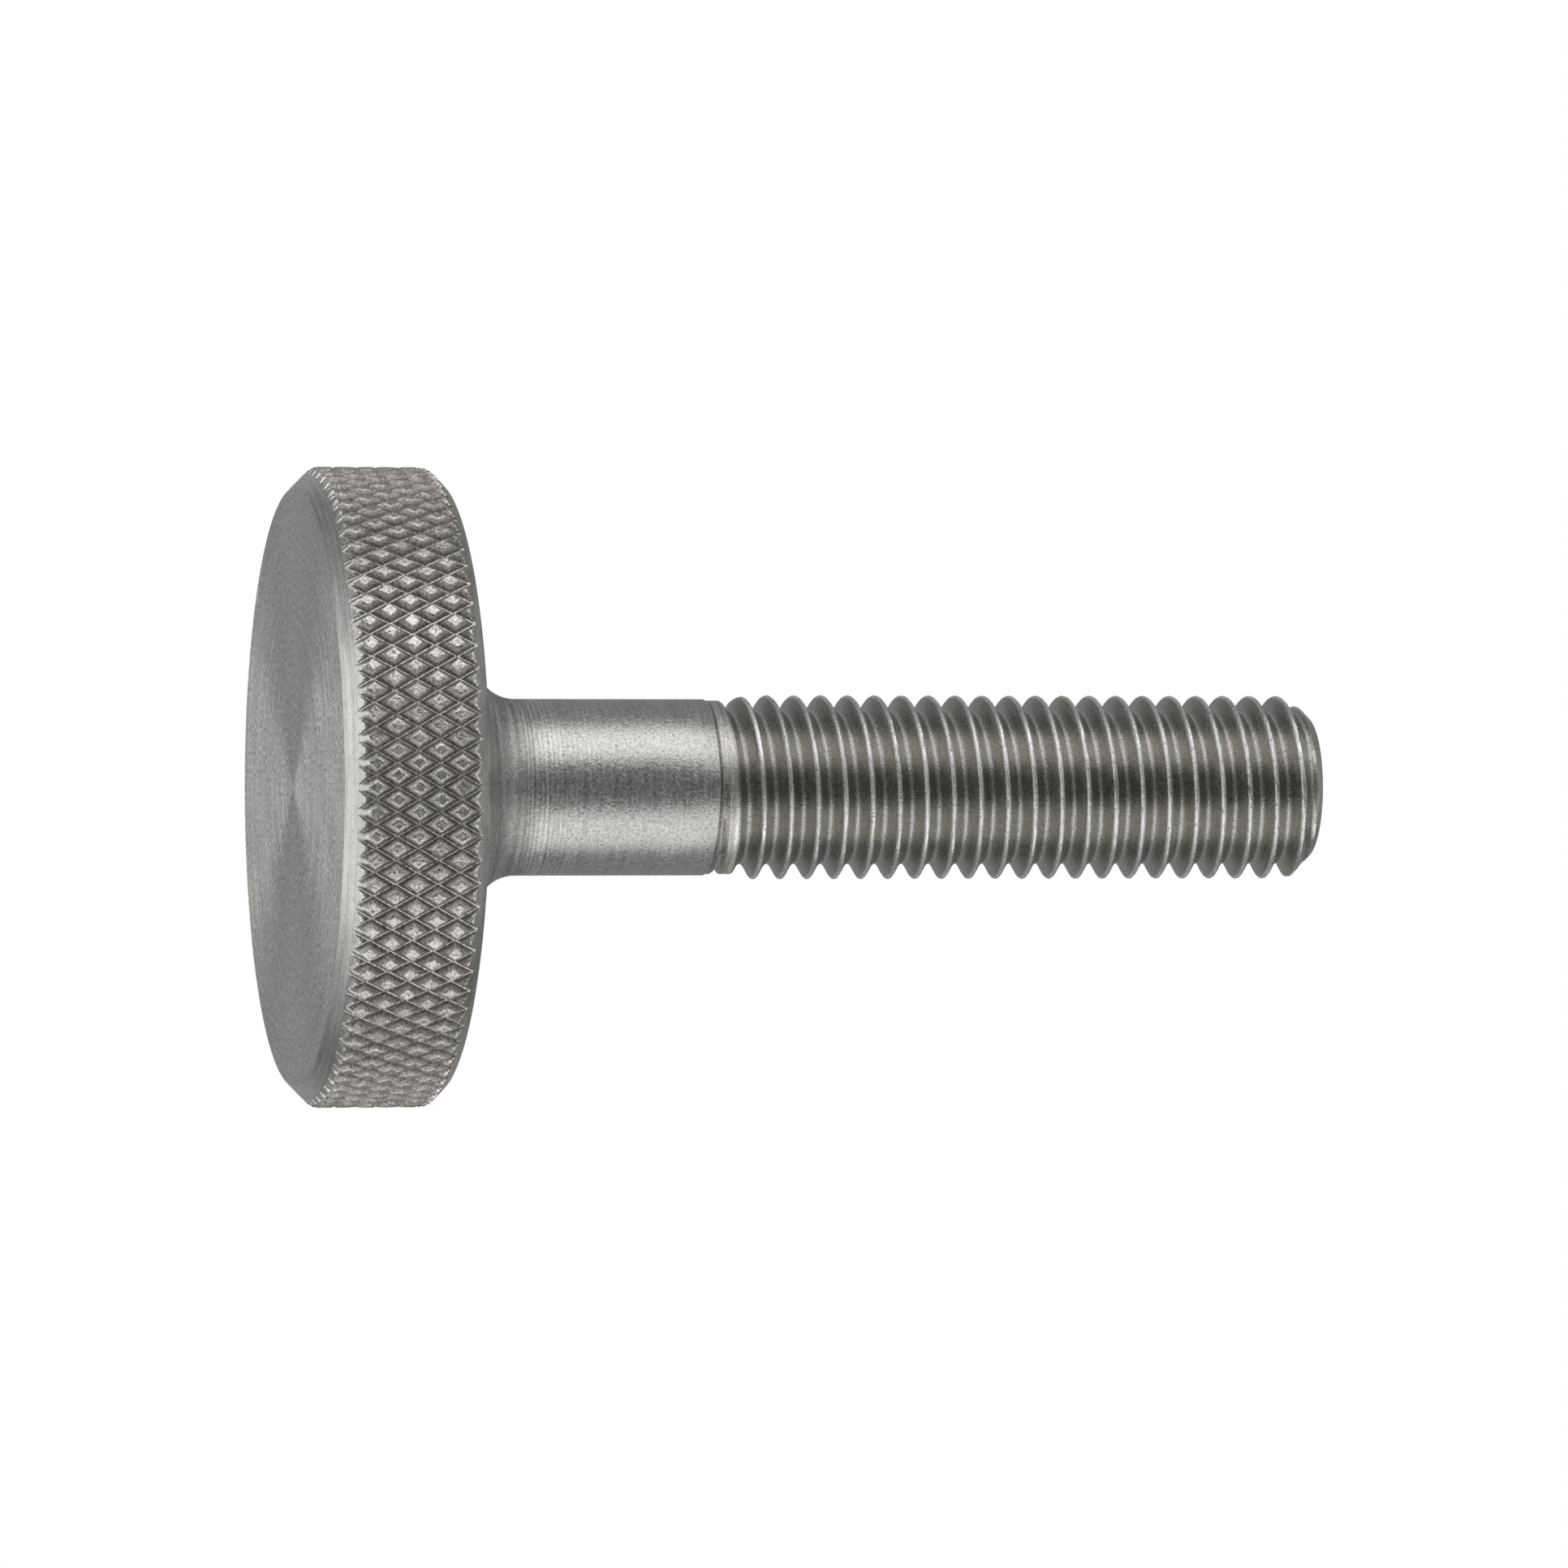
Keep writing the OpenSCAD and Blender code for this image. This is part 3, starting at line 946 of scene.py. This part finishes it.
def card(name, azimuths, elevations, greys):
    """A part of the ball: middle + card_r times the direction of each point. Between
    the elevations, the greys change evenly."""
    steps = np.linspace(elevations[0], elevations[-1], card_rows)
    azimuth = np.radians(np.linspace(*azimuths, card_columns))[:, None]
    xyz = middle + card_r * direction(azimuth, np.radians(steps)[None, :])
    greys_here = np.tile(np.interp(steps, elevations, greys), card_columns)
    number = np.arange(greys_here.size).reshape(card_columns, card_rows)
    quads = np.stack(
        [number[:-1, :-1], number[1:, :-1], number[1:, 1:], number[:-1, 1:]], -1
    )
    data = bpy.data.meshes.new(name)
    data.from_pydata(xyz.reshape(-1, 3).tolist(), [], quads.reshape(-1, 4).tolist())
    data.attributes.new("grey", "FLOAT", "POINT").data.foreach_set(
        "value", greys_here.astype(np.float32)
    )
    paint = bpy.data.materials.new(name)
    nodes = Nodes(paint)
    nodes.tree.nodes.clear()
    grey = nodes.node("ShaderNodeAttribute", attribute_name="grey").outputs["Fac"]
    glow = nodes.node("ShaderNodeEmission", {"Strength": grey}).outputs[0]
    nodes.node("ShaderNodeOutputMaterial", {0: glow})
    data.materials.append(paint)
    made = new_object(name, data)
    made.visible_camera = False
    made.visible_diffuse = False
    made.visible_shadow = False
    print(f"{name}: {azimuths} degrees round, {elevations[0]} to {elevations[-1]} up")


card("card_camera_side", (-30, 33), (-60, 30), (0.17, 0.17))
card("card_over_camera", (-24, 26), (30, 60), (0.10, 0.10))
card("card_back", (88, 272), (-65, -58, -48, -39, -29, -20, -10, 0, 15, 35, 50, 70, 90),
     (0.62, 0.48, 0.36, 0.24, 0.18, 0.27, 0.37, 0.32, 0.27, 0.23, 0.18, 0.25, 0.30))
card("card_ceiling", (-88, 88), (60, 90), (0.28, 0.30))

# %% Two softboxes
lamp_way = 0.9          # from the middle of the screw to a softbox


def softbox(name, azimuth, elevation, width, height, watts):
    """A rectangular lamp in that direction, in degrees, that looks at the screw."""
    lamp = bpy.data.lights.new(name, "AREA")
    lamp.shape = "RECTANGLE"
    lamp.size = width
    lamp.size_y = height
    lamp.energy = watts
    way_out = direction(math.radians(azimuth), math.radians(elevation))
    holder = new_object(name, lamp)
    holder.location = middle + lamp_way * way_out
    holder.rotation_mode = "QUATERNION"
    holder.rotation_quaternion = Vector(way_out).to_track_quat("Z", "Y")
    print(f"{name}: {width} by {height} m, {watts} W")


softbox("softbox_left", 60, 10, 0.55, 0.7, 0.55)
softbox("softbox_right", -59, 10, 0.5, 0.7, 0.12)

# %% [markdown]
# ## The floor and the camera
#
# The screw stands on its flat face. The camera looks from slightly below that face, so
# an ordinary floor would hide the screw. This one is a sheet that is seen from above
# only: on its underside it lets the view through. From any place above it, it is a pale
# floor with the screw's shadow.
#
# The camera is turned by a quarter, so that its upper edge points to -X: the standing
# screw then lies on its side in the view, with its head to the left.

# %% Floor
reach = 6.0
floor_z = 0.05 * MM     # a hair above the face, so that the two don't share a plane
floor_data = bpy.data.meshes.new("floor")
floor_data.from_pydata(
    [(-reach, -reach, floor_z), (reach, -reach, floor_z),
     (reach, reach, floor_z), (-reach, reach, floor_z)], [], [(0, 1, 2, 3)]
)
floor_paint = bpy.data.materials.new("pale_floor")
nodes = Nodes(floor_paint)
pale = nodes.tree.nodes["Principled BSDF"]
pale.inputs["Base Color"].default_value = (0.86, 0.86, 0.86, 1)
pale.inputs["Roughness"].default_value = 0.9
from_below = nodes.node("ShaderNodeNewGeometry").outputs["Backfacing"]
clear = nodes.node("ShaderNodeBsdfTransparent").outputs[0]
either = nodes.node("ShaderNodeMixShader", {0: from_below, 1: pale.outputs[0], 2: clear})
nodes.link(either.outputs[0], nodes.tree.nodes["Material Output"].inputs[0])
floor_data.materials.append(floor_paint)
floor = new_object("floor", floor_data)
floor.visible_glossy = False    # the steel reflects only the room and its cards
print(f"floor {2 * reach:.0f} m wide")

# %% Camera
below = math.radians(12.05)     # how far below the face's level it looks from
distance = 0.6218               # from the point that it looks at
look_x, look_z = -0.00018, 0.02699
camera_data = bpy.data.cameras.new("camera")
camera_data.lens = 263
camera_data.sensor_width = 36
camera_data.clip_start = 0.05
camera_data.clip_end = 20
camera = new_object("camera", camera_data)

# the columns are the camera's right, its upward direction, its back and its place
cos_b, sin_b = math.cos(below), math.sin(below)
camera.matrix_world = Matrix((
    (0, -1, 0, look_x),
    (-sin_b, 0, -cos_b, -distance * cos_b),
    (cos_b, 0, -sin_b, look_z - distance * sin_b),
    (0, 0, 0, 1),
))
bpy.context.scene.camera = camera
bpy.context.scene.view_settings.view_transform = "Standard"
print(f"camera {distance:.2f} m away, lens {camera_data.lens:.0f} mm")
